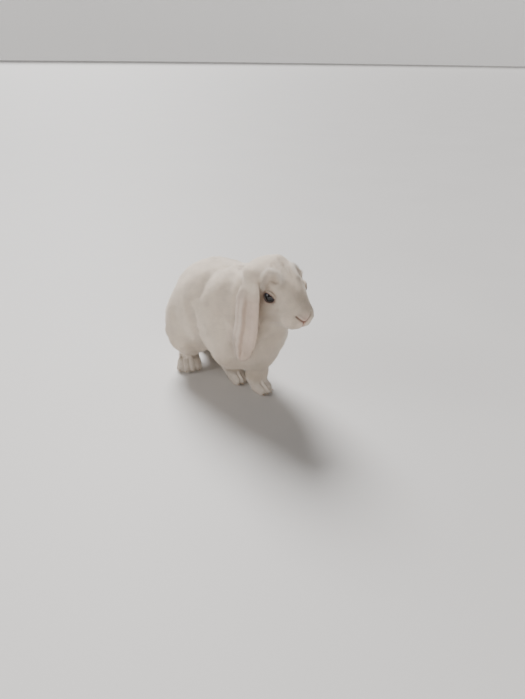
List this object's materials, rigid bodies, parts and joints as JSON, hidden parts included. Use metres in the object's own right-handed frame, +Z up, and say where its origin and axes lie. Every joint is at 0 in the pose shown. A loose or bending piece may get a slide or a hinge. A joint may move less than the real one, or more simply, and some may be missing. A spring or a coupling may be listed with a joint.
{
  "type": "lop-eared rabbit",
  "caption": "Lop-eared dwarf rabbit with a cream coat, standing with its head raised and its ears hanging beside its cheeks.",
  "frame": {"origin": "middle of the bounding box on the floor that the paws stand on", "axes": "the rabbit faces -Y, so its left side is +X; +Z up"},
  "size_m": [0.1362, 0.28, 0.2227],
  "materials": {
    "coat": "soft short fur, cream white",
    "ear": "short velvety fur over pinkish skin",
    "eye": "wet and glossy",
    "claw": "horn, satin"
  },
  "bodies": {
    "root": {"eye_right": "eye", "eye_left": "eye", "ear_right": "ear", "ear_left": "ear", "head": "coat", "neck": "coat", "hock_right": "coat", "hock_left": "coat", "haunch_right": "coat", "haunch_left": "coat", "trunk": "coat", "foreleg_right": "coat", "foreleg_left": "coat", "forepaw_right": "coat", "forepaw_left": "coat", "hind_foot_right": "coat", "hind_foot_left": "coat", "tail": "coat", "claw_fore_right_1": "claw", "claw_fore_right_2": "claw", "claw_fore_right_3": "claw", "claw_fore_right_4": "claw", "claw_hind_right_1": "claw", "claw_hind_right_2": "claw", "claw_hind_right_3": "claw", "claw_hind_right_4": "claw", "claw_fore_left_1": "claw", "claw_fore_left_2": "claw", "claw_fore_left_3": "claw", "claw_fore_left_4": "claw", "claw_hind_left_1": "claw", "claw_hind_left_2": "claw", "claw_hind_left_3": "claw", "claw_hind_left_4": "claw"}
  },
  "joints": []
}
